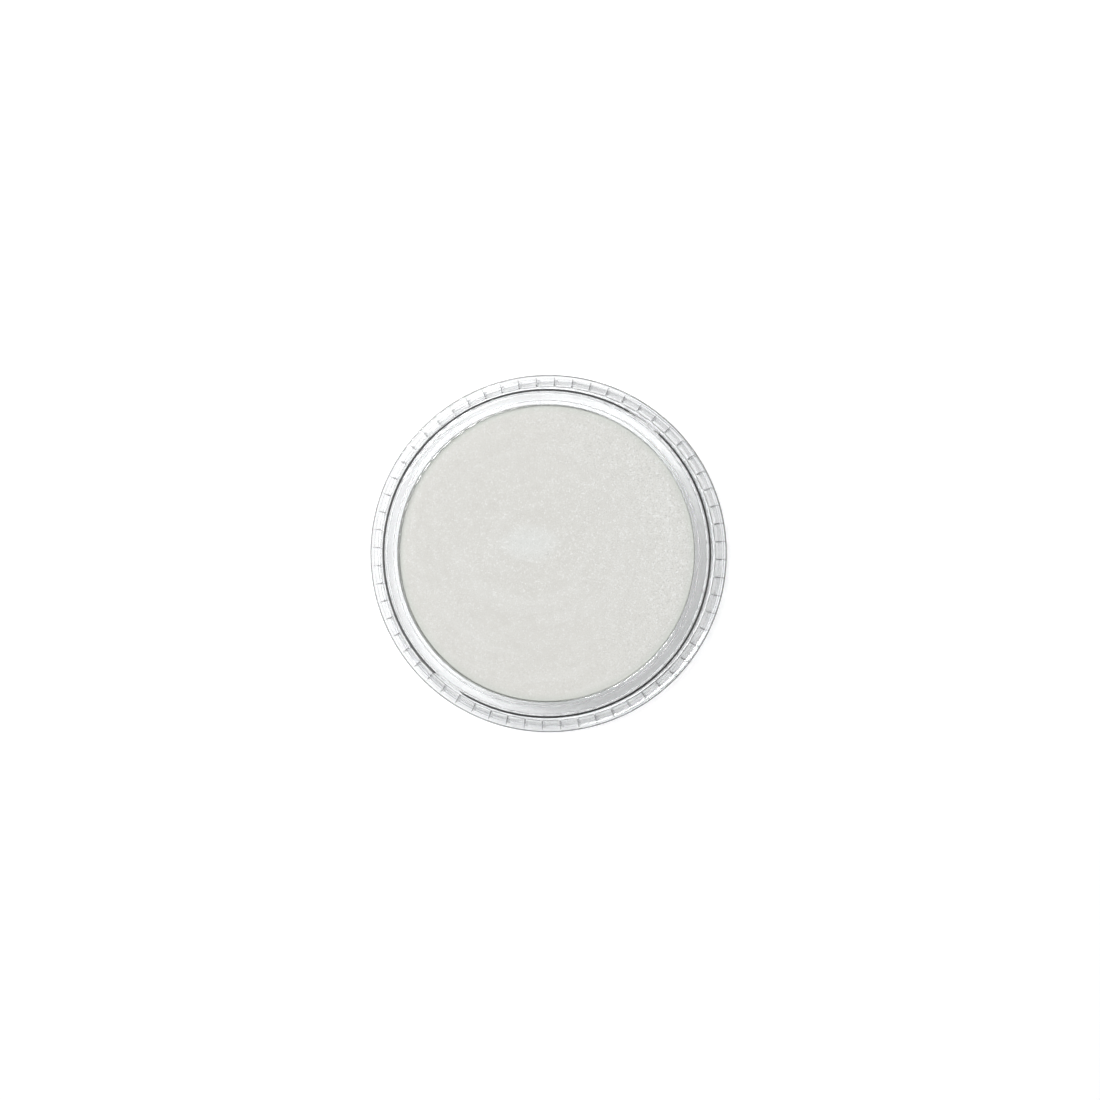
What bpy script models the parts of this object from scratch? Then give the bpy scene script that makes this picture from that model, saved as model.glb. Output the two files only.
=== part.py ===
"""Clear stacking screw pan with a pressed pearl pastel cake and a base label.

Metres, +Z up. The origin is on the pan's axis, on the surface that the pan stands on.
"""

import math

import bmesh
import bpy

MM = 0.001

# Driving dimensions.
PAN_DIAMETER = 62.0 * MM
CAKE_DIAMETER = 50.6 * MM
CAKE_THICKNESS = 4.2 * MM
CAKE_CHAMFER = 0.25 * MM
CAKE_HOLLOW = 0.3 * MM
HOLLOW_HALFWAY = 0.75  # share of the hollow reached halfway to the middle
PITCH = 8.6 * MM  # height that each pan adds to a stack
NECK_HEIGHT = 5.2 * MM  # rim above the flange
FLANGE_THICKNESS = 1.0 * MM
WALL = 1.2 * MM
FLANGE_OVERHANG = 0.45 * MM  # past the foot of the skirt
FLANGE_DRAFT = 0.22 * MM  # how much wider the flange is at its underside
RIM_CHAMFER_WIDTH = 0.4 * MM
RIM_CHAMFER_HEIGHT = 0.9 * MM
LIP_WIDTH = 0.75 * MM  # raised ring round the well's mouth
LIP_SLOPE = 0.15 * MM
LIP_HEIGHT = 0.2 * MM
WELL_DRAFT = 0.1 * MM  # how much wider the well is at its rim
CLEARANCE = 0.3 * MM  # between pieces that touch
THREAD_PLAY = 0.15 * MM  # between pans screwed together
FLARE = 1.4 * MM  # how much wider the skirt's facets are at its foot
RIB_COUNT = 60
RIB_PHASE = math.radians(4)  # angle of the first rib's tip
RIB_DEPTH = 0.25 * MM  # at the foot; the ribs are upright and the facets lean in above it
RIB_HALF_WIDTH = 0.16 * MM
SMOOTH_STEPS = 120
SHARP_ANGLE = math.radians(30)  # edges that bend more than this stay sharp
THREAD_STARTS = 2
THREAD_START = math.radians(55)  # angle at which the first ridge begins
THREAD_SPAN = math.radians(176)
THREAD_LEAD = 2.4 * MM
THREAD_LOWEST = 2.75 * MM  # above the flange
THREAD_DEPTH = 0.32 * MM
THREAD_CREST_RADIUS = 28.45 * MM
THREAD_CREST = 0.1 * MM  # height of the ridge's flat tip
THREAD_TOP_FLANK = 0.1 * MM
THREAD_LOW_FLANK = 0.25 * MM
THREAD_STEPS_PER_TURN = 72
THREAD_SUNK = 0.4 * MM  # how far a ridge's root goes into the neck
LUG_START = THREAD_START + math.radians(60)
LUG_SPAN = math.radians(40)
LUG_BEHIND = 0.55 * MM  # how far the lugs lie under the ridges they catch
LUG_CREST = 0.3 * MM
LUG_FLANK = 0.35 * MM
LUG_SUNK = 0.8 * MM  # how far a lug's root goes into the socket's wall
SOCKET_STRAIGHT_SHARE = 0.75  # of the socket's depth, before it narrows to its ceiling
LABEL_THICKNESS = 0.2 * MM

# Worked out from them.
FLANGE_RADIUS = PAN_DIAMETER / 2
NECK_RADIUS = THREAD_CREST_RADIUS - THREAD_DEPTH
FLANGE_TOP = PITCH
FLANGE_UNDERSIDE = FLANGE_TOP - FLANGE_THICKNESS
RIM_TOP = FLANGE_TOP + NECK_HEIGHT
SKIRT_RADIUS_BASE = FLANGE_RADIUS - FLANGE_OVERHANG
SKIRT_RADIUS_TOP = SKIRT_RADIUS_BASE - FLARE
SOCKET_RADIUS = THREAD_CREST_RADIUS + THREAD_PLAY
SOCKET_MOUTH_RADIUS = SKIRT_RADIUS_BASE - WALL
SOCKET_CEILING_RADIUS = NECK_RADIUS + THREAD_PLAY
CAKE_RADIUS = CAKE_DIAMETER / 2
WELL_RADIUS_FLOOR = CAKE_RADIUS + CLEARANCE
WELL_RADIUS_RIM = WELL_RADIUS_FLOOR + WELL_DRAFT
SOCKET_DEPTH = NECK_HEIGHT + 2 * CLEARANCE
LUG_LOWEST = THREAD_LOWEST + THREAD_LEAD * (LUG_START - THREAD_START) / math.tau - LUG_BEHIND
SOCKET_NARROWS = SOCKET_STRAIGHT_SHARE * SOCKET_DEPTH
FLOOR_TOP = SOCKET_DEPTH + WALL
CAKE_BOTTOM = FLOOR_TOP + CLEARANCE
CAKE_TOP = CAKE_BOTTOM + CAKE_THICKNESS


def clear_scene():
    for obj in list(bpy.data.objects):
        bpy.data.objects.remove(obj, do_unlink=True)


def principled(name, colour, roughness, transmission=0.0, ior=1.5):
    """A material with one Principled BSDF."""
    material = bpy.data.materials.new(name)
    material.use_nodes = True
    shader = material.node_tree.nodes["Principled BSDF"]
    shader.inputs["Base Color"].default_value = (*colour, 1.0)
    shader.inputs["Roughness"].default_value = roughness
    shader.inputs["Metallic"].default_value = 0.0
    shader.inputs["Transmission Weight"].default_value = transmission
    shader.inputs["IOR"].default_value = ior
    return material


def round_angles(count):
    return [math.tau * i / count for i in range(count)]


def rib_angles(radius):
    """Three directions for each rib: its two sides and its tip."""
    half = RIB_HALF_WIDTH / radius
    tips = [RIB_PHASE + angle for angle in round_angles(RIB_COUNT)]
    return [tip + side for tip in tips for side in (-half, 0.0, half)]


def round_ring(bm, radius, z):
    """A smooth ring of vertices, in order of angle."""
    return [
        bm.verts.new((radius * math.cos(angle), radius * math.sin(angle), z))
        for angle in round_angles(SMOOTH_STEPS)
    ]


def ribbed_ring(bm, radius, z):
    """A ring through the upright tips of the ribs, with flat facets between the ribs."""
    ring = []
    for index, angle in enumerate(rib_angles(radius)):
        reach = SKIRT_RADIUS_BASE if index % 3 == 1 else radius - RIB_DEPTH
        ring.append(bm.verts.new((reach * math.cos(angle), reach * math.sin(angle), z)))
    return ring


def angle_of(vertex, start):
    return (math.atan2(vertex.co.y, vertex.co.x) - start) % math.tau


def bridge(bm, first, second):
    """Closes the band between two rings, the second one further along the profile."""
    if len(first) == len(second):
        for i in range(len(first)):
            j = (i + 1) % len(first)
            bm.faces.new((first[i], first[j], second[j], second[i]))
        return
    start = -math.pi / SMOOTH_STEPS
    first = sorted(first, key=lambda vertex: angle_of(vertex, start))
    second = sorted(second, key=lambda vertex: angle_of(vertex, start))
    i = j = 0
    while i < len(first) or j < len(second):
        next_first = angle_of(first[i + 1], start) if i + 1 < len(first) else math.tau
        next_second = angle_of(second[j + 1], start) if j + 1 < len(second) else math.tau
        a = first[i % len(first)]
        b = second[j % len(second)]
        if j == len(second) or (i < len(first) and next_first <= next_second):
            i += 1
            bm.faces.new((a, first[i % len(first)], b))
        else:
            j += 1
            bm.faces.new((a, second[j % len(second)], b))


def turned_mesh(name, profile):
    """A closed turned body from (radius, height, is it ribbed) points.

    The profile runs from the axis at the bottom, out and up, to the axis at the top.
    """
    bm = bmesh.new()
    rings = []
    for radius, z, ribbed in profile:
        if radius == 0.0:
            rings.append([bm.verts.new((0.0, 0.0, z))])
        elif ribbed:
            rings.append(ribbed_ring(bm, radius, z))
        else:
            rings.append(round_ring(bm, radius, z))
    for first, second in zip(rings, rings[1:]):
        if len(first) == 1:
            pole = first[0]
            for i in range(len(second)):
                bm.faces.new((pole, second[(i + 1) % len(second)], second[i]))
        elif len(second) == 1:
            pole = second[0]
            for i in range(len(first)):
                bm.faces.new((first[i], first[(i + 1) % len(first)], pole))
        else:
            bridge(bm, first, second)
    mesh = bpy.data.meshes.new(name)
    bm.to_mesh(mesh)
    bm.free()
    return mesh


def smooth(radius, *heights):
    """Smooth profile points at one radius."""
    return [(radius, z, False) for z in heights]


def ridge_section(wall_radius, root_radius, crest_radius, crest, low_flank, top_flank):
    """Corners of a ridge whose flanks meet the wall, carried on into the wall up to the root."""
    sink = (root_radius - wall_radius) / (wall_radius - crest_radius)
    return (
        (root_radius, -crest / 2 - low_flank * (1 + sink)),
        (crest_radius, -crest / 2),
        (crest_radius, crest / 2),
        (root_radius, crest / 2 + top_flank * (1 + sink)),
    )


def ridge(name, corners, start, span, lowest):
    """A closed ridge that climbs at the thread's lead."""
    steps = round(THREAD_STEPS_PER_TURN * span / math.tau)
    bm = bmesh.new()
    sections = []
    for i in range(steps + 1):
        turned = span * i / steps
        cos, sin = math.cos(start + turned), math.sin(start + turned)
        z = lowest + THREAD_LEAD * turned / math.tau
        sections.append([bm.verts.new((radius * cos, radius * sin, z + dz)) for radius, dz in corners])
    for here, there in zip(sections, sections[1:]):
        for k in range(4):
            n = (k + 1) % 4
            bm.faces.new((here[k], here[n], there[n], there[k]))
    bm.faces.new(sections[0])
    bm.faces.new(reversed(sections[-1]))
    bmesh.ops.recalc_face_normals(bm, faces=bm.faces)
    mesh = bpy.data.meshes.new(name)
    bm.to_mesh(mesh)
    bm.free()
    return bpy.data.objects.new(name, mesh)


def add_object(name, mesh, material):
    mesh.materials.append(material)
    obj = bpy.data.objects.new(name, mesh)
    bpy.context.collection.objects.link(obj)
    return obj


def join_ridges(body, ridges):
    """Boolean union of ridges with the moulding that carries them."""
    for guide in ridges:
        bpy.context.collection.objects.link(guide)
        guide.parent = body
        guide.hide_render = True
        guide.display_type = "WIRE"
        union = body.modifiers.new(guide.name, "BOOLEAN")
        union.operation = "UNION"
        union.solver = "EXACT"
        union.object = guide


def shade(obj):
    obj.data.shade_smooth()
    obj.data.set_sharp_from_angle(angle=SHARP_ANGLE)


def neck_thread():
    """Outside thread that the pan above screws onto."""
    corners = ridge_section(
        NECK_RADIUS,
        NECK_RADIUS - THREAD_SUNK,
        THREAD_CREST_RADIUS,
        THREAD_CREST,
        THREAD_LOW_FLANK,
        THREAD_TOP_FLANK,
    )
    return [
        ridge(
            f"neck_thread_{i}",
            corners,
            THREAD_START + math.tau * i / THREAD_STARTS,
            THREAD_SPAN,
            FLANGE_TOP + THREAD_LOWEST,
        )
        for i in range(THREAD_STARTS)
    ]


def socket_lugs():
    """Short inside ridges that catch under the thread of the pan below."""
    corners = ridge_section(
        SOCKET_RADIUS,
        SOCKET_RADIUS + LUG_SUNK,
        SOCKET_CEILING_RADIUS,
        LUG_CREST,
        LUG_FLANK,
        LUG_FLANK,
    )
    return [
        ridge(
            f"socket_lug_{i}",
            corners,
            LUG_START + math.tau * i / THREAD_STARTS,
            LUG_SPAN,
            LUG_LOWEST,
        )
        for i in range(THREAD_STARTS)
    ]


def make_pan():
    """Base ring and ribbed skirt, flange, neck and well in one moulding."""
    land = RIM_TOP - LIP_HEIGHT
    profile = [
        (0.0, SOCKET_DEPTH, False),
        *smooth(SOCKET_CEILING_RADIUS, SOCKET_DEPTH),
        *smooth(SOCKET_RADIUS, SOCKET_NARROWS),
        *smooth(SOCKET_MOUTH_RADIUS, 0.0),
        (SKIRT_RADIUS_BASE, 0.0, True),
        (SKIRT_RADIUS_TOP, FLANGE_UNDERSIDE, True),
        *smooth(FLANGE_RADIUS, FLANGE_UNDERSIDE),
        *smooth(FLANGE_RADIUS - FLANGE_DRAFT, FLANGE_TOP),
        *smooth(NECK_RADIUS, FLANGE_TOP, RIM_TOP - RIM_CHAMFER_HEIGHT),
        *smooth(NECK_RADIUS - RIM_CHAMFER_WIDTH, land),
        *smooth(WELL_RADIUS_RIM + LIP_WIDTH, land),
        *smooth(WELL_RADIUS_RIM + LIP_WIDTH - LIP_SLOPE, RIM_TOP),
        *smooth(WELL_RADIUS_RIM, RIM_TOP),
        *smooth(WELL_RADIUS_FLOOR, CAKE_TOP, FLOOR_TOP),
        (0.0, FLOOR_TOP, False),
    ]
    material = principled("clear_pan_plastic", (0.97, 0.98, 0.99), 0.05, transmission=1.0, ior=1.59)
    pan = add_object("pan", turned_mesh("pan", profile), material)
    join_ridges(pan, neck_thread() + socket_lugs())
    shade(pan)
    return pan


def make_cake():
    """Pressed cake with a broken edge, a little hollow towards the middle."""
    profile = [
        (0.0, CAKE_BOTTOM, False),
        *smooth(CAKE_RADIUS, CAKE_BOTTOM, CAKE_TOP - CAKE_CHAMFER),
        *smooth(CAKE_RADIUS - CAKE_CHAMFER, CAKE_TOP),
        *smooth(CAKE_RADIUS / 2, CAKE_TOP - HOLLOW_HALFWAY * CAKE_HOLLOW),
        (0.0, CAKE_TOP - CAKE_HOLLOW, False),
    ]
    material = principled("pearl_pastel", (0.72, 0.72, 0.69), 0.55)
    cake = add_object("pastel_cake", turned_mesh("pastel_cake", profile), material)
    shade(cake)
    return cake


def make_label():
    """Plain paper disc under the well floor."""
    label_top = SOCKET_DEPTH - CLEARANCE
    profile = [
        (0.0, label_top - LABEL_THICKNESS, False),
        *smooth(CAKE_RADIUS, label_top - LABEL_THICKNESS, label_top),
        (0.0, label_top, False),
    ]
    material = principled("label_paper", (0.86, 0.86, 0.84), 0.6)
    label = add_object("base_label", turned_mesh("base_label", profile), material)
    shade(label)
    return label


def main():
    clear_scene()
    make_pan()
    make_cake()
    make_label()


main()
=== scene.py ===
"""Looks of the clear stacking pan with its pressed pearl pastel cake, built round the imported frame."""

import math

import bpy
import numpy as np
from mathutils import Matrix, Vector


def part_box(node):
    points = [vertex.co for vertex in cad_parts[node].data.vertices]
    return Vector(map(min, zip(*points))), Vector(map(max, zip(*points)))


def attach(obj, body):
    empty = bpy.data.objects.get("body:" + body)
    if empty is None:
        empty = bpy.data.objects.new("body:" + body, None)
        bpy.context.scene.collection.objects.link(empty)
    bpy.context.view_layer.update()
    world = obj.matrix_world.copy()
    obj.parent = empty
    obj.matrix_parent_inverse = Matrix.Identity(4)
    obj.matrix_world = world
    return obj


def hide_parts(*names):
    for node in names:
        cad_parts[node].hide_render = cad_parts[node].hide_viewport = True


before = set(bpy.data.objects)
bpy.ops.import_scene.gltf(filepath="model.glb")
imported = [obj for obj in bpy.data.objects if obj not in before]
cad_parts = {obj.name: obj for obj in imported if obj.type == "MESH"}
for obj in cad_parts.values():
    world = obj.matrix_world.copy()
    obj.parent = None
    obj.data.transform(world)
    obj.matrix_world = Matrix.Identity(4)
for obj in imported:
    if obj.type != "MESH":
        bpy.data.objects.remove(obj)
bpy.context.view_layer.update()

MM = 0.001
BODY = "root"

# The pan's own sizes, from the frame where it holds them.
PAN_LOW, PAN_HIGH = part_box("pan")
CAKE_LOW, CAKE_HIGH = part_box("pastel_cake")
LABEL_LOW, LABEL_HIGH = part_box("base_label")
FLANGE_RADIUS = PAN_HIGH[0]
RIM_TOP = PAN_HIGH[2]
CAKE_TOP = CAKE_HIGH[2]
CLEARANCE = 0.3 * MM
NECK_HEIGHT = 5.2 * MM
FLANGE_TOP = RIM_TOP - NECK_HEIGHT
FLANGE_UNDERSIDE = FLANGE_TOP - 1.0 * MM
SOCKET_DEPTH = LABEL_HIGH[2] + CLEARANCE
FLOOR_TOP = CAKE_LOW[2] - CLEARANCE
SKIRT_FOOT_RADIUS = FLANGE_RADIUS - 0.45 * MM
SKIRT_TOP_RADIUS = SKIRT_FOOT_RADIUS - 1.4 * MM
SOCKET_MOUTH_RADIUS = SKIRT_FOOT_RADIUS - 1.2 * MM
THREAD_CREST_RADIUS = 28.45 * MM
THREAD_DEPTH = 0.40 * MM
NECK_RADIUS = THREAD_CREST_RADIUS - THREAD_DEPTH
SOCKET_RADIUS = THREAD_CREST_RADIUS + 0.15 * MM
SOCKET_CEILING_RADIUS = NECK_RADIUS + 0.15 * MM
WELL_FLOOR_RADIUS = CAKE_HIGH[0] + CLEARANCE
WELL_RIM_RADIUS = WELL_FLOOR_RADIUS + 0.1 * MM
SUPPORT = 0.02 * MM
CHAMFER_WIDTH = 0.4 * MM
CHAMFER_HEIGHT = 0.9 * MM
LIP_WIDTH = 0.75 * MM
LIP_HEIGHT = 0.2 * MM
BEAD_WIDTH = 0.45 * MM
BEAD_HEIGHT = 0.05 * MM
FLANGE_DRAFT = 0.22 * MM
FLANGE_EDGE_HEIGHT = 0.25 * MM

RIB_COUNT = 60
RIB_DEPTH = 0.25 * MM
RIB_HALF_WIDTH = 0.12 * MM
SKIRT_SATIN = 0.15
RIB_PHASE = math.radians(4)
RIB_TIP_COLUMNS = (0.07, 0.14, 0.22, 0.32)  # degrees to either side of a rib's tip
FACET_COLUMNS = (1.1, 2.05, 3.0, 3.95, 4.9)  # degrees past a rib's tip, across the facet

THREAD_STARTS = 2
THREAD_START = math.radians(55)
THREAD_SPAN = math.radians(176)
THREAD_LEAD = 2.4 * MM
THREAD_LOWEST = FLANGE_TOP + 2.75 * MM
THREAD_MIDDLE = FLANGE_TOP + 3.35 * MM
THREAD_CREST = 0.1 * MM
THREAD_TOP_FLANK = 0.1 * MM
THREAD_LOW_FLANK = 0.31 * MM
THREAD_RUN_OUT = math.radians(5)
THREAD_ABOVE_FLANGE = 0.3 * MM
LUG_START = THREAD_START + math.radians(60)
LUG_SPAN = math.radians(40)
LUG_LOWEST = 2.6 * MM
LUG_ROOT = 1.0 * MM
LUG_FLANK = 0.35 * MM
SEAM_ANGLES = (math.radians(136.45), math.radians(316.45))  # where the mould's halves met
SEAM_HEIGHT = 0.05 * MM
SEAM_WIDTH = math.radians(0.35)


# ---------------------------------------------------------------- mesh helpers


def smoothstep(x):
    x = np.clip(x, 0.0, 1.0)
    return x * x * (3 - 2 * x)


def rounded(corners, steps=6):
    """(radius, height, zone) points of an outline whose corners are rounded off.

    A corner is (radius, height, rounding, zone of the stretch that follows it). A loop just
    past each end of a rounding keeps the flat stretches flat where shading is smooth.
    """
    points = []
    for i, (radius, z, rounding, zone) in enumerate(corners):
        here = np.array((radius, z))
        if rounding == 0.0:
            points.append((*here, zone))
            continue
        before = np.array(corners[i - 1][:2]) - here
        after = np.array(corners[i + 1][:2]) - here
        into, out = np.linalg.norm(before), np.linalg.norm(after)
        start = here + before * min(0.45, rounding / into)
        end = here + after * min(0.45, rounding / out)
        zone_before = corners[i - 1][3]
        points.append((*(start + before * (SUPPORT / into)), zone_before))
        for k in range(steps + 1):
            t = k / steps
            point = (1 - t) ** 2 * start + 2 * t * (1 - t) * here + t * t * end
            points.append((*point, zone if k == steps else zone_before))
        points.append((*(end + after * (SUPPORT / out)), zone))
    return points


def subdivided(points, spacing):
    """The same outline with its long stretches cut to the spacing of their zone."""
    rows = []
    for here, there in zip(points, points[1:]):
        length = math.dist(here[:2], there[:2])
        cuts = max(1, math.ceil(length / spacing[here[2]]))
        for k in range(cuts):
            t = k / cuts
            radius = here[0] + (there[0] - here[0]) * t
            z = here[1] + (there[1] - here[1]) * t
            rows.append((radius, z, here[2]))
    rows.append(points[-1])
    return rows


def turned(name, rows, angles, shape=None):
    """A closed turned mesh from the axis at the bottom, out and up, to the axis at the top.

    shape(angles, radius, z, zone) may return each row's own radii and heights.
    """
    count = len(angles)
    cos, sin = np.cos(angles), np.sin(angles)
    vertices = [(0.0, 0.0, rows[0][1])]
    for radius, z, zone in rows[1:-1]:
        radii, heights = np.full(count, radius), np.full(count, z)
        if shape:
            radii, heights = shape(angles, radii, heights, zone)
        vertices.extend(zip(radii * cos, radii * sin, heights))
    vertices.append((0.0, 0.0, rows[-1][1]))
    last = len(vertices) - 1
    rings = len(rows) - 2
    faces = [(0, 1 + (i + 1) % count, 1 + i) for i in range(count)]
    for ring in range(rings - 1):
        low = 1 + ring * count
        high = low + count
        for i in range(count):
            after = (i + 1) % count
            faces.append((low + i, low + after, high + after, high + i))
    top = 1 + (rings - 1) * count
    faces += [(top + i, top + (i + 1) % count, last) for i in range(count)]
    mesh = bpy.data.meshes.new(name)
    mesh.from_pydata(vertices, [], faces)
    mesh.shade_smooth()
    piece = bpy.data.objects.new(name, mesh)
    bpy.context.scene.collection.objects.link(piece)
    return piece


def even_angles(count):
    return np.arange(count) * math.tau / count


# ---------------------------------------------------------------- material helpers


class Shader:
    """A material's node tree, with short calls to add nodes."""

    def __init__(self, name):
        self.material = bpy.data.materials.new(name)
        self.material.use_nodes = True
        self.tree = self.material.node_tree
        self.principled = self.tree.nodes["Principled BSDF"]
        self.surface = self.tree.nodes["Material Output"].inputs["Surface"]

    def node(self, kind, settings=None, **inputs):
        made = self.tree.nodes.new(kind)
        for key, value in (settings or {}).items():
            setattr(made, key, value)
        for key, value in inputs.items():
            numbered = key[0] == "i" and key[1:].isdigit()
            self.put(made.inputs[int(key[1:]) if numbered else key.replace("_", " ")], value)
        return made

    def put(self, socket, value):
        if isinstance(value, bpy.types.NodeSocket):
            self.tree.links.new(value, socket)
        else:
            socket.default_value = value

    def set(self, **inputs):
        for key, value in inputs.items():
            self.put(self.principled.inputs[key.replace("_", " ")], value)

    def math(self, operation, first, second=0.0, clamp=False):
        settings = {"operation": operation, "use_clamp": clamp}
        return self.node("ShaderNodeMath", settings, i0=first, i1=second).outputs[0]

    def ramp(self, value, low, high, start=0.0, end=1.0):
        """value between low and high, mapped to start and end."""
        node = self.node("ShaderNodeMapRange", Value=value)
        for key, number in (("From Min", low), ("From Max", high), ("To Min", start), ("To Max", end)):
            node.inputs[key].default_value = number
        return node.outputs[0]

    def noise(self, vector, scale, detail=2.0, roughness=0.5, distortion=0.0):
        node = self.node("ShaderNodeTexNoise", Vector=vector, Scale=scale, Detail=detail)
        node.inputs["Roughness"].default_value = roughness
        node.inputs["Distortion"].default_value = distortion
        return node.outputs[0]

    def object_coordinates(self):
        return self.node("ShaderNodeTexCoord").outputs["Object"]

    def split(self, vector):
        return self.node("ShaderNodeSeparateXYZ", Vector=vector).outputs

    def distance(self, across, along):
        """The length of the flat vector (across, along)."""
        squares = self.math("ADD", self.math("POWER", across, 2.0), self.math("POWER", along, 2.0))
        return self.math("POWER", squares, 0.5)

    def mix_colour(self, factor, first, second, blend="MIX"):
        node = self.node("ShaderNodeMix", {"data_type": "RGBA", "blend_type": blend})
        self.put(node.inputs[0], factor)
        self.put(node.inputs[6], first)
        self.put(node.inputs[7], second)
        return node.outputs[2]

    def bump(self, height, distance, strength=1.0, normal=None):
        node = self.node("ShaderNodeBump", Height=height, Distance=distance, Strength=strength)
        if normal is not None:
            self.put(node.inputs["Normal"], normal)
        return node.outputs[0]


# ---------------------------------------------------------------- the clear pan

PAN_SPACING = {
    "plain": 1.5 * MM,
    "edge": 0.3 * MM,
    "socket": 0.2 * MM,
    "skirt": 0.4 * MM,
    "neck": 0.25 * MM,
}


def pan_section():
    bead_radius = FLANGE_RADIUS - FLANGE_DRAFT - BEAD_WIDTH
    plate_top = FLANGE_TOP - BEAD_HEIGHT
    ridge_low = THREAD_MIDDLE - THREAD_CREST / 2
    ridge_top = THREAD_MIDDLE + THREAD_CREST / 2
    corners = [
        (0.0, SOCKET_DEPTH, 0.0, "plain"),
        (SOCKET_CEILING_RADIUS, SOCKET_DEPTH, 0.5 * MM, "plain"),
        (SOCKET_RADIUS, 0.75 * SOCKET_DEPTH, 0.6 * MM, "socket"),
        (SOCKET_MOUTH_RADIUS, 0.0, 0.25 * MM, "plain"),
        (SKIRT_FOOT_RADIUS, 0.0, 0.3 * MM, "skirt"),
        (SKIRT_TOP_RADIUS, FLANGE_UNDERSIDE, 0.06 * MM, "plain"),
        (FLANGE_RADIUS, FLANGE_UNDERSIDE, 0.05 * MM, "edge"),
        (FLANGE_RADIUS - 0.03 * MM, FLANGE_TOP - FLANGE_EDGE_HEIGHT, 0.06 * MM, "edge"),
        (FLANGE_RADIUS - FLANGE_DRAFT, FLANGE_TOP, 0.06 * MM, "edge"),
        (bead_radius, FLANGE_TOP, 0.12 * MM, "edge"),
        (bead_radius - 0.1 * MM, plate_top, 0.12 * MM, "edge"),
        (NECK_RADIUS, plate_top, 0.15 * MM, "neck"),
        (NECK_RADIUS, ridge_low - THREAD_LOW_FLANK, 0.03 * MM, "neck"),
        (THREAD_CREST_RADIUS, ridge_low, 0.02 * MM, "neck"),
        (THREAD_CREST_RADIUS, ridge_top, 0.02 * MM, "neck"),
        (NECK_RADIUS, ridge_top + THREAD_TOP_FLANK, 0.02 * MM, "neck"),
        (NECK_RADIUS, RIM_TOP - CHAMFER_HEIGHT, 0.2 * MM, "plain"),
        (NECK_RADIUS - CHAMFER_WIDTH, RIM_TOP - LIP_HEIGHT, 0.15 * MM, "plain"),
        (WELL_RIM_RADIUS + LIP_WIDTH, RIM_TOP - LIP_HEIGHT, 0.1 * MM, "plain"),
        (WELL_RIM_RADIUS + LIP_WIDTH - 0.15 * MM, RIM_TOP, 0.1 * MM, "plain"),
        (WELL_RIM_RADIUS, RIM_TOP, 0.15 * MM, "plain"),
        (WELL_FLOOR_RADIUS, CAKE_TOP, 0.3 * MM, "plain"),
        (WELL_FLOOR_RADIUS - 0.1 * MM, FLOOR_TOP, 0.5 * MM, "plain"),
        (0.0, FLOOR_TOP, 0.0, "plain"),
    ]
    return subdivided(rounded(corners), PAN_SPACING)


def eased(x, ease=0.25):
    """x held between 0 and 1, with both bends eased."""
    soft = lambda v: np.where(v < -ease, 0.0, np.where(v > ease, v, (v + ease) ** 2 / (4 * ease)))
    return soft(x) - soft(x - 1.0)


def ridge_height(angles, heights, start, span, lowest):
    """How far a helical ridge stands out, from 0 to 1, at each angle and height."""
    turned_by = (angles - start) % math.tau
    centre = lowest + THREAD_LEAD * turned_by / math.tau
    across = eased((LUG_ROOT / 2 - np.abs(heights - centre)) / LUG_FLANK)
    ends = smoothstep(turned_by / THREAD_RUN_OUT) * smoothstep((span - turned_by) / THREAD_RUN_OUT)
    return across * np.where(turned_by < span, ends, 0.0)


def seam_height(angles):
    """The thin line that the two halves of the mould leave."""
    total = np.zeros_like(angles)
    for seam in SEAM_ANGLES:
        away = (angles - seam + math.pi) % math.tau - math.pi
        total += SEAM_HEIGHT * np.exp(-((away / SEAM_WIDTH) ** 2))
    return total


def ribbed(angles, radii, heights):
    """Upright ribs, with flat facets between them that lean out towards the foot."""
    pitch = math.tau / RIB_COUNT
    away = np.abs((angles - RIB_PHASE + pitch / 2) % pitch - pitch / 2)
    side = smoothstep((away * radii - 0.2 * RIB_HALF_WIDTH) / (0.8 * RIB_HALF_WIDTH))
    tip = radii + heights * (SKIRT_FOOT_RADIUS - SKIRT_TOP_RADIUS) / FLANGE_UNDERSIDE
    facet = (radii - RIB_DEPTH) * math.cos(pitch / 2) / np.cos(pitch / 2 - away)
    return tip + (facet - tip) * side


def threaded(angles, radii, heights):
    """The neck's outline. Its ridge climbs round it and runs out between one start and the next."""
    turned_by = (angles - THREAD_START) % (math.tau / THREAD_STARTS)
    ends = np.minimum(turned_by, THREAD_SPAN - turned_by) / THREAD_RUN_OUT
    full = smoothstep(ends)
    climb = THREAD_LOWEST + THREAD_LEAD * turned_by / math.tau - THREAD_MIDDLE
    low, high = FLANGE_TOP + THREAD_ABOVE_FLANGE, RIM_TOP - CHAMFER_HEIGHT
    ridge_low = THREAD_MIDDLE - THREAD_CREST / 2 - THREAD_LOW_FLANK
    ridge_high = THREAD_MIDDLE + THREAD_CREST / 2 + THREAD_TOP_FLANK
    below = (heights - low) / (ridge_low - low)
    above = (high - heights) / (high - ridge_high)
    share = np.clip(np.minimum(below, above), 0, 1)
    stand = np.maximum(radii - NECK_RADIUS, 0.0)
    radii = radii - stand * (1 - full) + seam_height(angles)
    return radii, heights + climb * share


def pan_shape(angles, radii, heights, zone):
    if zone == "skirt":
        radii = ribbed(angles, radii, heights)
    elif zone == "neck":
        radii, heights = threaded(angles, radii, heights)
    elif zone == "socket":
        for i in range(THREAD_STARTS):
            start = LUG_START + math.tau * i / THREAD_STARTS
            lug = ridge_height(angles, heights, start, LUG_SPAN, LUG_LOWEST)
            radii = radii - (radii - SOCKET_CEILING_RADIUS) * lug
    return radii, heights


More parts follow.
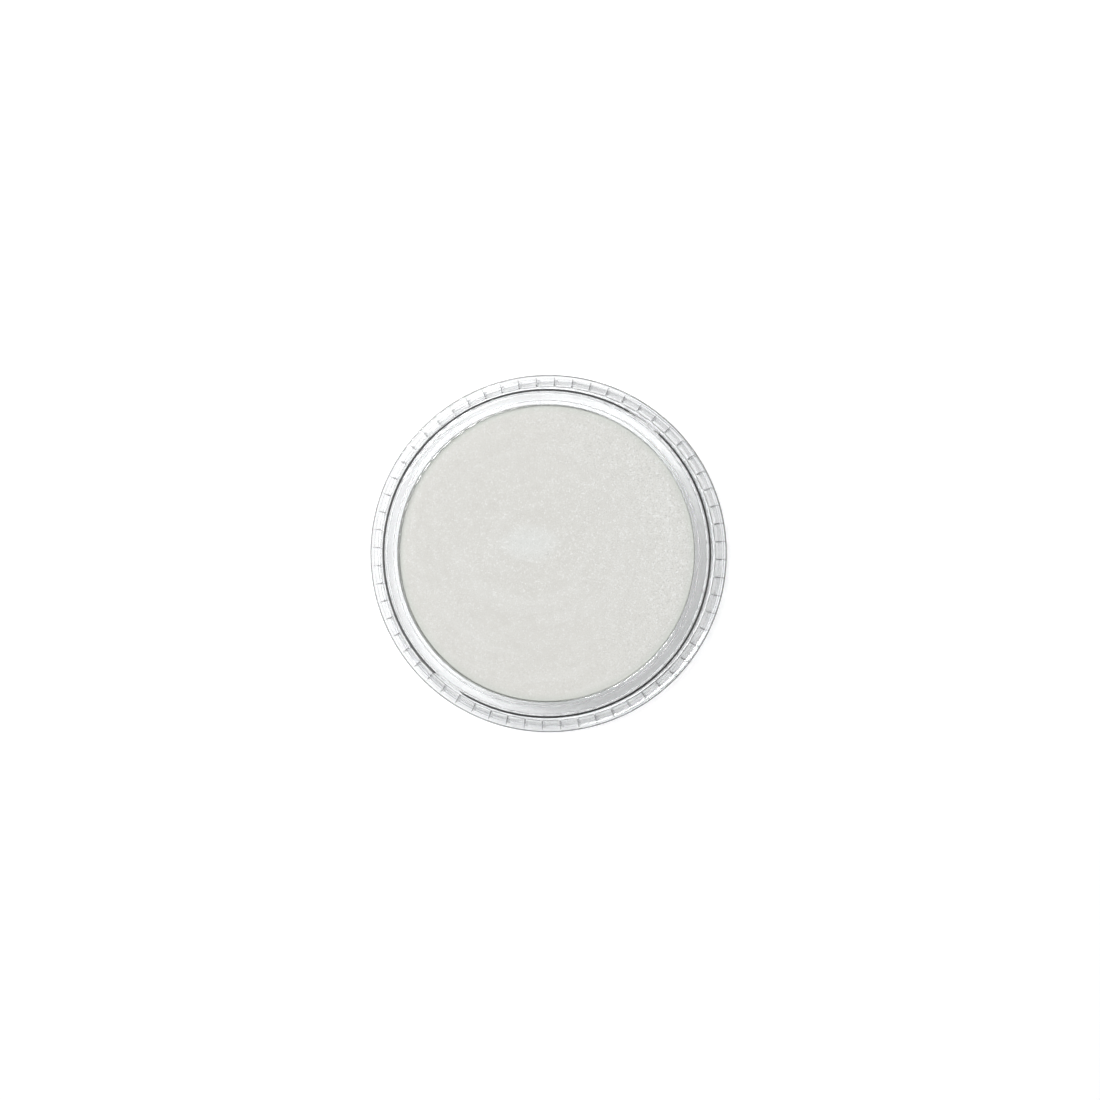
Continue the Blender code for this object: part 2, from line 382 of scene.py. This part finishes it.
def rib_angles():
    """The mesh's columns, close together at each rib's tip and even across the facets."""
    before_tip = tuple(-away for away in reversed(RIB_TIP_COLUMNS))
    columns = np.radians(before_tip + (0.0,) + RIB_TIP_COLUMNS + FACET_COLUMNS)
    tips = RIB_PHASE + np.arange(RIB_COUNT)[:, None] * math.tau / RIB_COUNT
    return np.sort((tips + columns[None, :]).ravel() % math.tau)


CLEAR_DARK = (0.89, 0.895, 0.90, 1.0)
CLEAR_LIGHT = (0.91, 0.915, 0.92, 1.0)
# Painted shade: a near-black colour on the flange's top chamfer, standing for the dark outline its clear
# edge shows.
PAINTED_OUTLINE_SHADE = (0.09, 0.09, 0.093, 1.0)
PAINTED_OUTLINE_HEIGHT = 0.26 * MM
SHADOW_PASSING = (0.78, 0.78, 0.785, 1.0)
DEPTH_TINT = (0.72, 0.73, 0.73, 1.0)
DEPTH_DENSITY = 60.0
STYRENE_IOR = 1.59


def on_skirt(s, radius, z):
    """1 on the outside of the skirt, below the flange, and 0 elsewhere."""
    lean = (SKIRT_FOOT_RADIUS - SKIRT_TOP_RADIUS) / FLANGE_UNDERSIDE
    upright_radius = s.math("ADD", radius, s.math("MULTIPLY", z, lean))
    outside = s.math("GREATER_THAN", upright_radius, SKIRT_FOOT_RADIUS - 2.2 * RIB_DEPTH)
    below = s.math("LESS_THAN", z, FLANGE_UNDERSIDE - SUPPORT)
    return s.math("MULTIPLY", outside, below)


def painted_outline_mask(s, radius, z):
    """1 on the small chamfer round the flange's top, where a dark outline is painted as shade, and 0
    elsewhere.
    """
    outermost = s.math("GREATER_THAN", radius, FLANGE_RADIUS - FLANGE_DRAFT)
    return s.math("MULTIPLY", outermost, s.math("GREATER_THAN", z, FLANGE_TOP - PAINTED_OUTLINE_HEIGHT))


def let_light_through(s):
    """Shadow rays pass straight through, so that the cake and the floor are lit."""
    passing = s.node("ShaderNodeBsdfTransparent", Color=SHADOW_PASSING).outputs[0]
    shadow_ray = s.node("ShaderNodeLightPath").outputs["Is Shadow Ray"]
    mix = s.node("ShaderNodeMixShader", i0=shadow_ray, i1=s.principled.outputs[0], i2=passing)
    s.put(s.surface, mix.outputs[0])


def clear_plastic():
    """Clear moulded styrene: faint flow marks, a satin skirt and a painted dark outline round the
    flange's top, standing for the shade at its edge.
    """
    s = Shader("clear_styrene")
    place = s.object_coordinates()
    x, y, z = s.split(place)
    radius = s.distance(x, y)
    flow = s.noise(place, 90.0, detail=3.0, distortion=1.5)
    scuff = s.noise(place, 2600.0, detail=2.0)
    marks = s.math("ADD", s.math("MULTIPLY", flow, 0.8), s.math("MULTIPLY", scuff, 0.2))
    clear = s.mix_colour(s.ramp(flow, 0.35, 0.65), CLEAR_DARK, CLEAR_LIGHT)
    satin = s.math("MULTIPLY", on_skirt(s, radius, z), SKIRT_SATIN)
    s.set(
        # The flange's top chamfer gets the painted dark outline.
        Base_Color=s.mix_colour(painted_outline_mask(s, radius, z), clear, PAINTED_OUTLINE_SHADE),
        Roughness=s.math("ADD", s.ramp(scuff, 0.35, 0.75, 0.0, 0.02), satin),
        IOR=STYRENE_IOR,
        Transmission_Weight=1.0,
        Normal=s.bump(marks, 0.0005 * MM, 0.1),
    )
    let_light_through(s)
    depth = s.node("ShaderNodeVolumeAbsorption", Color=DEPTH_TINT, Density=DEPTH_DENSITY).outputs[0]
    s.put(s.tree.nodes["Material Output"].inputs["Volume"], depth)
    return s.material


def make_pan():
    pan = turned("clear_pan", pan_section(), rib_angles(), pan_shape)
    pan.data.materials.append(clear_plastic())
    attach(pan, BODY)
    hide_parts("pan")
    return pan


# ---------------------------------------------------------------- the pastel cake

CAKE_GAP = 0.06 * MM
CAKE_HOLLOW = 0.22 * MM
RING_HEIGHT = 0.007 * MM
DIMPLE_DEPTH = 0.05 * MM
DIMPLE_RADIUS = 3.2 * MM
CAKE_SPACING = {"plain": 1.0 * MM, "top": 0.22 * MM}


def cake_section():
    side = WELL_FLOOR_RADIUS - CAKE_GAP
    corners = [
        (0.0, FLOOR_TOP + CAKE_GAP, 0.0, "plain"),
        (side - 0.6 * MM, FLOOR_TOP + CAKE_GAP, 0.2 * MM, "plain"),
        (side - 0.1 * MM, FLOOR_TOP + 0.8 * MM, 0.2 * MM, "plain"),
        (side, CAKE_TOP, 0.22 * MM, "top"),
        (0.0, CAKE_TOP, 0.0, "top"),
    ]
    return subdivided(rounded(corners), CAKE_SPACING)


def cake_shape(angles, radii, heights, zone):
    """Slightly hollow top with the low rings that levelling the powder leaves."""
    if zone == "top":
        share = radii / WELL_FLOOR_RADIUS
        x, y = radii * np.cos(angles), radii * np.sin(angles)
        swirl = np.hypot(x + 2.0 * MM, (y - 1.0 * MM) * 1.08)
        rings = np.sin(swirl / (0.55 * MM)) + 0.6 * np.sin(swirl / (0.31 * MM) + angles)
        inside = smoothstep((1 - share) / 0.06)
        dimple = np.exp(-((np.hypot(x + 2.2 * MM, y - 2.2 * MM) / DIMPLE_RADIUS) ** 2))
        heights = heights - CAKE_HOLLOW * (1 - share**2)
        heights = heights + RING_HEIGHT * rings * inside - DIMPLE_DEPTH * dimple
    return radii, heights


POWDER_DARK = (0.775, 0.765, 0.725, 1.0)
POWDER_LIGHT = (0.81, 0.805, 0.765, 1.0)
# Partly painted sheen: the pale colour of the levelling streaks.
STREAK_SHEEN_COLOUR = (0.86, 0.86, 0.83, 1.0)
# Painted highlight: the pale oval near the cake's middle.
PAINTED_HIGHLIGHT_COLOUR = (0.855, 0.875, 0.855, 1.0)
# Painted sheen: the paler right side of the cake.
PAINTED_SHEEN_SIDE_COLOUR = (0.84, 0.855, 0.835, 1.0)
# Painted glints: the sparkle of the pearl flakes.
PAINTED_GLINT_COLOUR = (0.97, 0.98, 0.97, 1.0)
# Dark specks in the powder.
DARK_SPECK_COLOUR = (0.60, 0.60, 0.57, 1.0)
# Painted shade: darker, greener colour round the cake's edge, against the well's wall.
CAKE_EDGE_SHADE_COLOUR = (0.66, 0.70, 0.64, 1.0)
# Centre and size of the painted highlight; the streaks circle the same centre.
HIGHLIGHT_CENTRE_X = -3.0 * MM
HIGHLIGHT_CENTRE_Y = 1.7 * MM
HIGHLIGHT_HALF_WIDTH = 5.2 * MM
HIGHLIGHT_HALF_HEIGHT = 3.0 * MM


def sheen_streaked(s, base, off_x, off_y):
    """Pale streaks round the painted highlight: the levelling marks in the powder, made paler as painted
    sheen.
    """
    smear = s.node(
        "ShaderNodeCombineXYZ",
        X=s.distance(off_x, off_y),
        Y=s.math("MULTIPLY", off_x, 0.1),
        Z=s.math("MULTIPLY", off_y, 0.1),
    )
    bands = s.noise(smear.outputs[0], 520.0, detail=4.0, roughness=0.65)
    return s.mix_colour(s.ramp(bands, 0.5, 0.72, 0.0, 0.5), base, STREAK_SHEEN_COLOUR)


def painted_highlight(s, base, off_x, off_y):
    """An oval painted highlight near the middle: the sheen of a burnished spot, painted into the colour.
    """
    wide = s.math("POWER", s.math("MULTIPLY", off_x, 1 / HIGHLIGHT_HALF_WIDTH), 2.0)
    tall = s.math("POWER", s.math("MULTIPLY", off_y, 1 / HIGHLIGHT_HALF_HEIGHT), 2.0)
    highlight_share = s.ramp(s.math("ADD", wide, tall), 0.0, 1.3, 1.0, 0.0)
    return s.mix_colour(s.math("MULTIPLY", highlight_share, 0.75), base, PAINTED_HIGHLIGHT_COLOUR)


def sparkled(s, base, x, y, shine, grain):
    """Painted glints on the pearl flakes, and dark specks; both are stronger towards the right side,
    which is also made paler as painted sheen.
    """
    # How far towards the right side, where the sheen, the glints and the specks' contrast are painted
    # stronger.
    across = s.ramp(s.math("ADD", x, s.math("MULTIPLY", y, 0.3)), 2.0 * MM, 24.0 * MM)
    base = s.mix_colour(s.math("MULTIPLY", across, 0.25), base, PAINTED_SHEEN_SIDE_COLOUR)
    glitter = s.math("ADD", 0.45, s.math("MULTIPLY", across, 0.55))
    base = s.mix_colour(s.math("MULTIPLY", shine, glitter), base, PAINTED_GLINT_COLOUR)
    dark_specks = s.ramp(grain, 0.36, 0.46, 1.0, 0.0)
    dark = s.math("ADD", 0.35, s.math("MULTIPLY", across, 0.65))
    return s.mix_colour(s.math("MULTIPLY", dark_specks, dark), base, DARK_SPECK_COLOUR)


def pearl_pastel():
    """Pressed powder: warm grey-white, mottled, with painted pearl glints, painted sheen towards the
    right, a painted highlight near the middle and painted shade at its edge.
    """
    s = Shader("pearl_pastel_powder")
    place = s.object_coordinates()
    x, y, z = s.split(place)
    off_x = s.math("ADD", x, -HIGHLIGHT_CENTRE_X)
    off_y = s.math("ADD", y, -HIGHLIGHT_CENTRE_Y)
    mottle = s.noise(place, 420.0, detail=4.0, roughness=0.6)
    grain = s.noise(place, 5200.0, detail=2.0, roughness=0.7)
    flakes = s.node("ShaderNodeTexVoronoi", Vector=place, Scale=5200.0)
    shine = s.ramp(flakes.outputs["Color"], 0.66, 0.90)
    base = s.mix_colour(s.ramp(mottle, 0.3, 0.7), POWDER_DARK, POWDER_LIGHT)
    base = sheen_streaked(s, base, off_x, off_y)
    base = painted_highlight(s, base, off_x, off_y)
    base = sparkled(s, base, x, y, shine, grain)
    # Painted shade towards the cake's edge, where it meets the pan's wall.
    edge = s.ramp(s.distance(x, y), 24.2 * MM, 25.5 * MM, 0.0, 0.6)
    s.set(
        Base_Color=s.mix_colour(edge, base, CAKE_EDGE_SHADE_COLOUR),
        Roughness=s.ramp(shine, 0.0, 1.0, 0.62, 0.35),
        Metallic=0.0,
        Normal=s.bump(s.math("ADD", grain, s.math("MULTIPLY", mottle, 2.0)), 0.03 * MM, 0.6),
        Sheen_Weight=0.1,
        Sheen_Roughness=0.5,
    )
    return s.material


def make_cake():
    cake = turned("pastel_powder", cake_section(), even_angles(360), cake_shape)
    cake.data.materials.append(pearl_pastel())
    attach(cake, BODY)
    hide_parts("pastel_cake")
    return cake


# ---------------------------------------------------------------- the base label


def label_paper():
    s = Shader("label_paper_fibre")
    place = s.object_coordinates()
    fibre = s.noise(place, 1800.0, detail=5.0, roughness=0.7)
    cloud = s.noise(place, 150.0, detail=3.0)
    colour = s.mix_colour(s.ramp(cloud, 0.3, 0.7), (0.80, 0.80, 0.78, 1.0), (0.87, 0.87, 0.86, 1.0))
    s.set(
        Base_Color=colour,
        Roughness=s.ramp(fibre, 0.3, 0.7, 0.55, 0.8),
        Normal=s.bump(fibre, 0.02 * MM, 0.4),
    )
    return s.material


LABEL_GAP = 0.05 * MM


def make_label():
    radius = LABEL_HIGH[0]
    top = SOCKET_DEPTH - LABEL_GAP
    bottom = LABEL_LOW[2] + LABEL_GAP
    corners = [
        (0.0, bottom, 0.0, "plain"),
        (radius, bottom, 0.05 * MM, "plain"),
        (radius, top, 0.05 * MM, "plain"),
        (0.0, top, 0.0, "plain"),
    ]
    label = turned("paper_label", subdivided(rounded(corners, 3), {"plain": 4 * MM}), even_angles(180))
    label.data.materials.append(label_paper())
    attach(label, BODY)
    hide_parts("base_label")
    return label


# ---------------------------------------------------------------- stage, light and camera


FLOOR_HALF_WIDTH = 1.5
FLOOR_DROP = 0.1 * MM


def make_floor():
    mesh = bpy.data.meshes.new("studio_floor")
    half = FLOOR_HALF_WIDTH
    corners = [(-half, -half), (half, -half), (half, half), (-half, half)]
    mesh.from_pydata([(x, y, -FLOOR_DROP) for x, y in corners], [], [(0, 1, 2, 3)])
    floor = bpy.data.objects.new("studio_floor", mesh)
    bpy.context.scene.collection.objects.link(floor)
    s = Shader("studio_floor_white")
    s.set(Base_Color=(0.86, 0.86, 0.86, 1.0), Roughness=0.9)
    s.set(Emission_Color=(1.0, 1.0, 1.0, 1.0), Emission_Strength=0.34)
    mesh.materials.append(s.material)


HORIZON = (0.03, 0.03, 0.032, 1.0)
OVERHEAD = (0.26, 0.26, 0.26, 1.0)
OPEN_SIDE = (0.04, 0.04, 0.04, 1.0)
TOWARDS_OPEN_SIDE = (-0.8, 0.6, 0.0)


def brightness_by_height(tree, direction):
    split = tree.nodes.new("ShaderNodeSeparateXYZ")
    ramp = tree.nodes.new("ShaderNodeValToRGB")
    tree.links.new(direction, split.inputs[0])
    tree.links.new(split.outputs["Z"], ramp.inputs[0])
    low, high = ramp.color_ramp.elements
    low.position, low.color = 0.15, HORIZON
    high.position, high.color = 0.60, OVERHEAD
    return ramp.outputs[0]


def share_of_open_side(tree, direction):
    side = tree.nodes.new("ShaderNodeVectorMath")
    side.operation = "DOT_PRODUCT"
    side.inputs[1].default_value = TOWARDS_OPEN_SIDE
    tree.links.new(direction, side.inputs[0])
    share = tree.nodes.new("ShaderNodeMapRange")
    share.interpolation_type = "SMOOTHSTEP"
    share.inputs["From Min"].default_value = 0.1
    share.inputs["From Max"].default_value = 0.9
    tree.links.new(side.outputs["Value"], share.inputs["Value"])
    return share.outputs[0]


def make_world():
    """Bright overhead, dim at the horizon, as under a studio tent with its sides open."""
    world = bpy.data.worlds.new("studio")
    bpy.context.scene.world = world
    world.use_nodes = True
    tree = world.node_tree
    direction = tree.nodes.new("ShaderNodeTexCoord").outputs["Generated"]
    mix = tree.nodes.new("ShaderNodeMix")
    mix.data_type = "RGBA"
    mix.inputs[7].default_value = OPEN_SIDE
    tree.links.new(share_of_open_side(tree, direction), mix.inputs[0])
    tree.links.new(brightness_by_height(tree, direction), mix.inputs[6])
    tree.links.new(mix.outputs[2], tree.nodes["Background"].inputs["Color"])
    tree.nodes["Background"].inputs["Strength"].default_value = 1.0


def make_light(name, place, width, power):
    light = bpy.data.lights.new(name, "AREA")
    light.shape = "DISK"
    light.size = width
    light.energy = power
    lamp = bpy.data.objects.new(name, light)
    lamp.location = place
    lamp.rotation_euler = (-Vector(place)).to_track_quat("-Z", "Y").to_euler()
    bpy.context.scene.collection.objects.link(lamp)


CAMERA_DISTANCE = 0.9
CAMERA_TARGET = (0.0003, 0.00062, FLANGE_TOP - 0.5 * MM)
CAMERA_BACK = (0.0734, -0.006, 1.0)
VIEW_WIDTH = 190.74 * MM


def make_camera():
    """Nearly overhead, a little to the right, far enough for a flat view."""
    target = Vector(CAMERA_TARGET)
    back = Vector(CAMERA_BACK).normalized()
    right = Vector((0.0, 1.0, 0.0)).cross(back).normalized()
    up = back.cross(right)
    data = bpy.data.cameras.new("camera")
    data.sensor_width = 36.0
    data.lens = data.sensor_width * CAMERA_DISTANCE / VIEW_WIDTH
    data.clip_start = 0.01
    camera = bpy.data.objects.new("camera", data)
    camera.location = target + back * CAMERA_DISTANCE
    camera.rotation_euler = Matrix((right, up, back)).transposed().to_euler()
    bpy.context.scene.collection.objects.link(camera)
    bpy.context.scene.camera = camera


make_pan()
make_cake()
make_label()
make_floor()
make_world()
make_light("key", (-0.21, 0.18, 0.96), 0.2, 6.6)
make_light("fill", (0.60, -0.30, 0.70), 0.7, 0.4)
make_camera()
bpy.context.scene.view_settings.view_transform = "Standard"
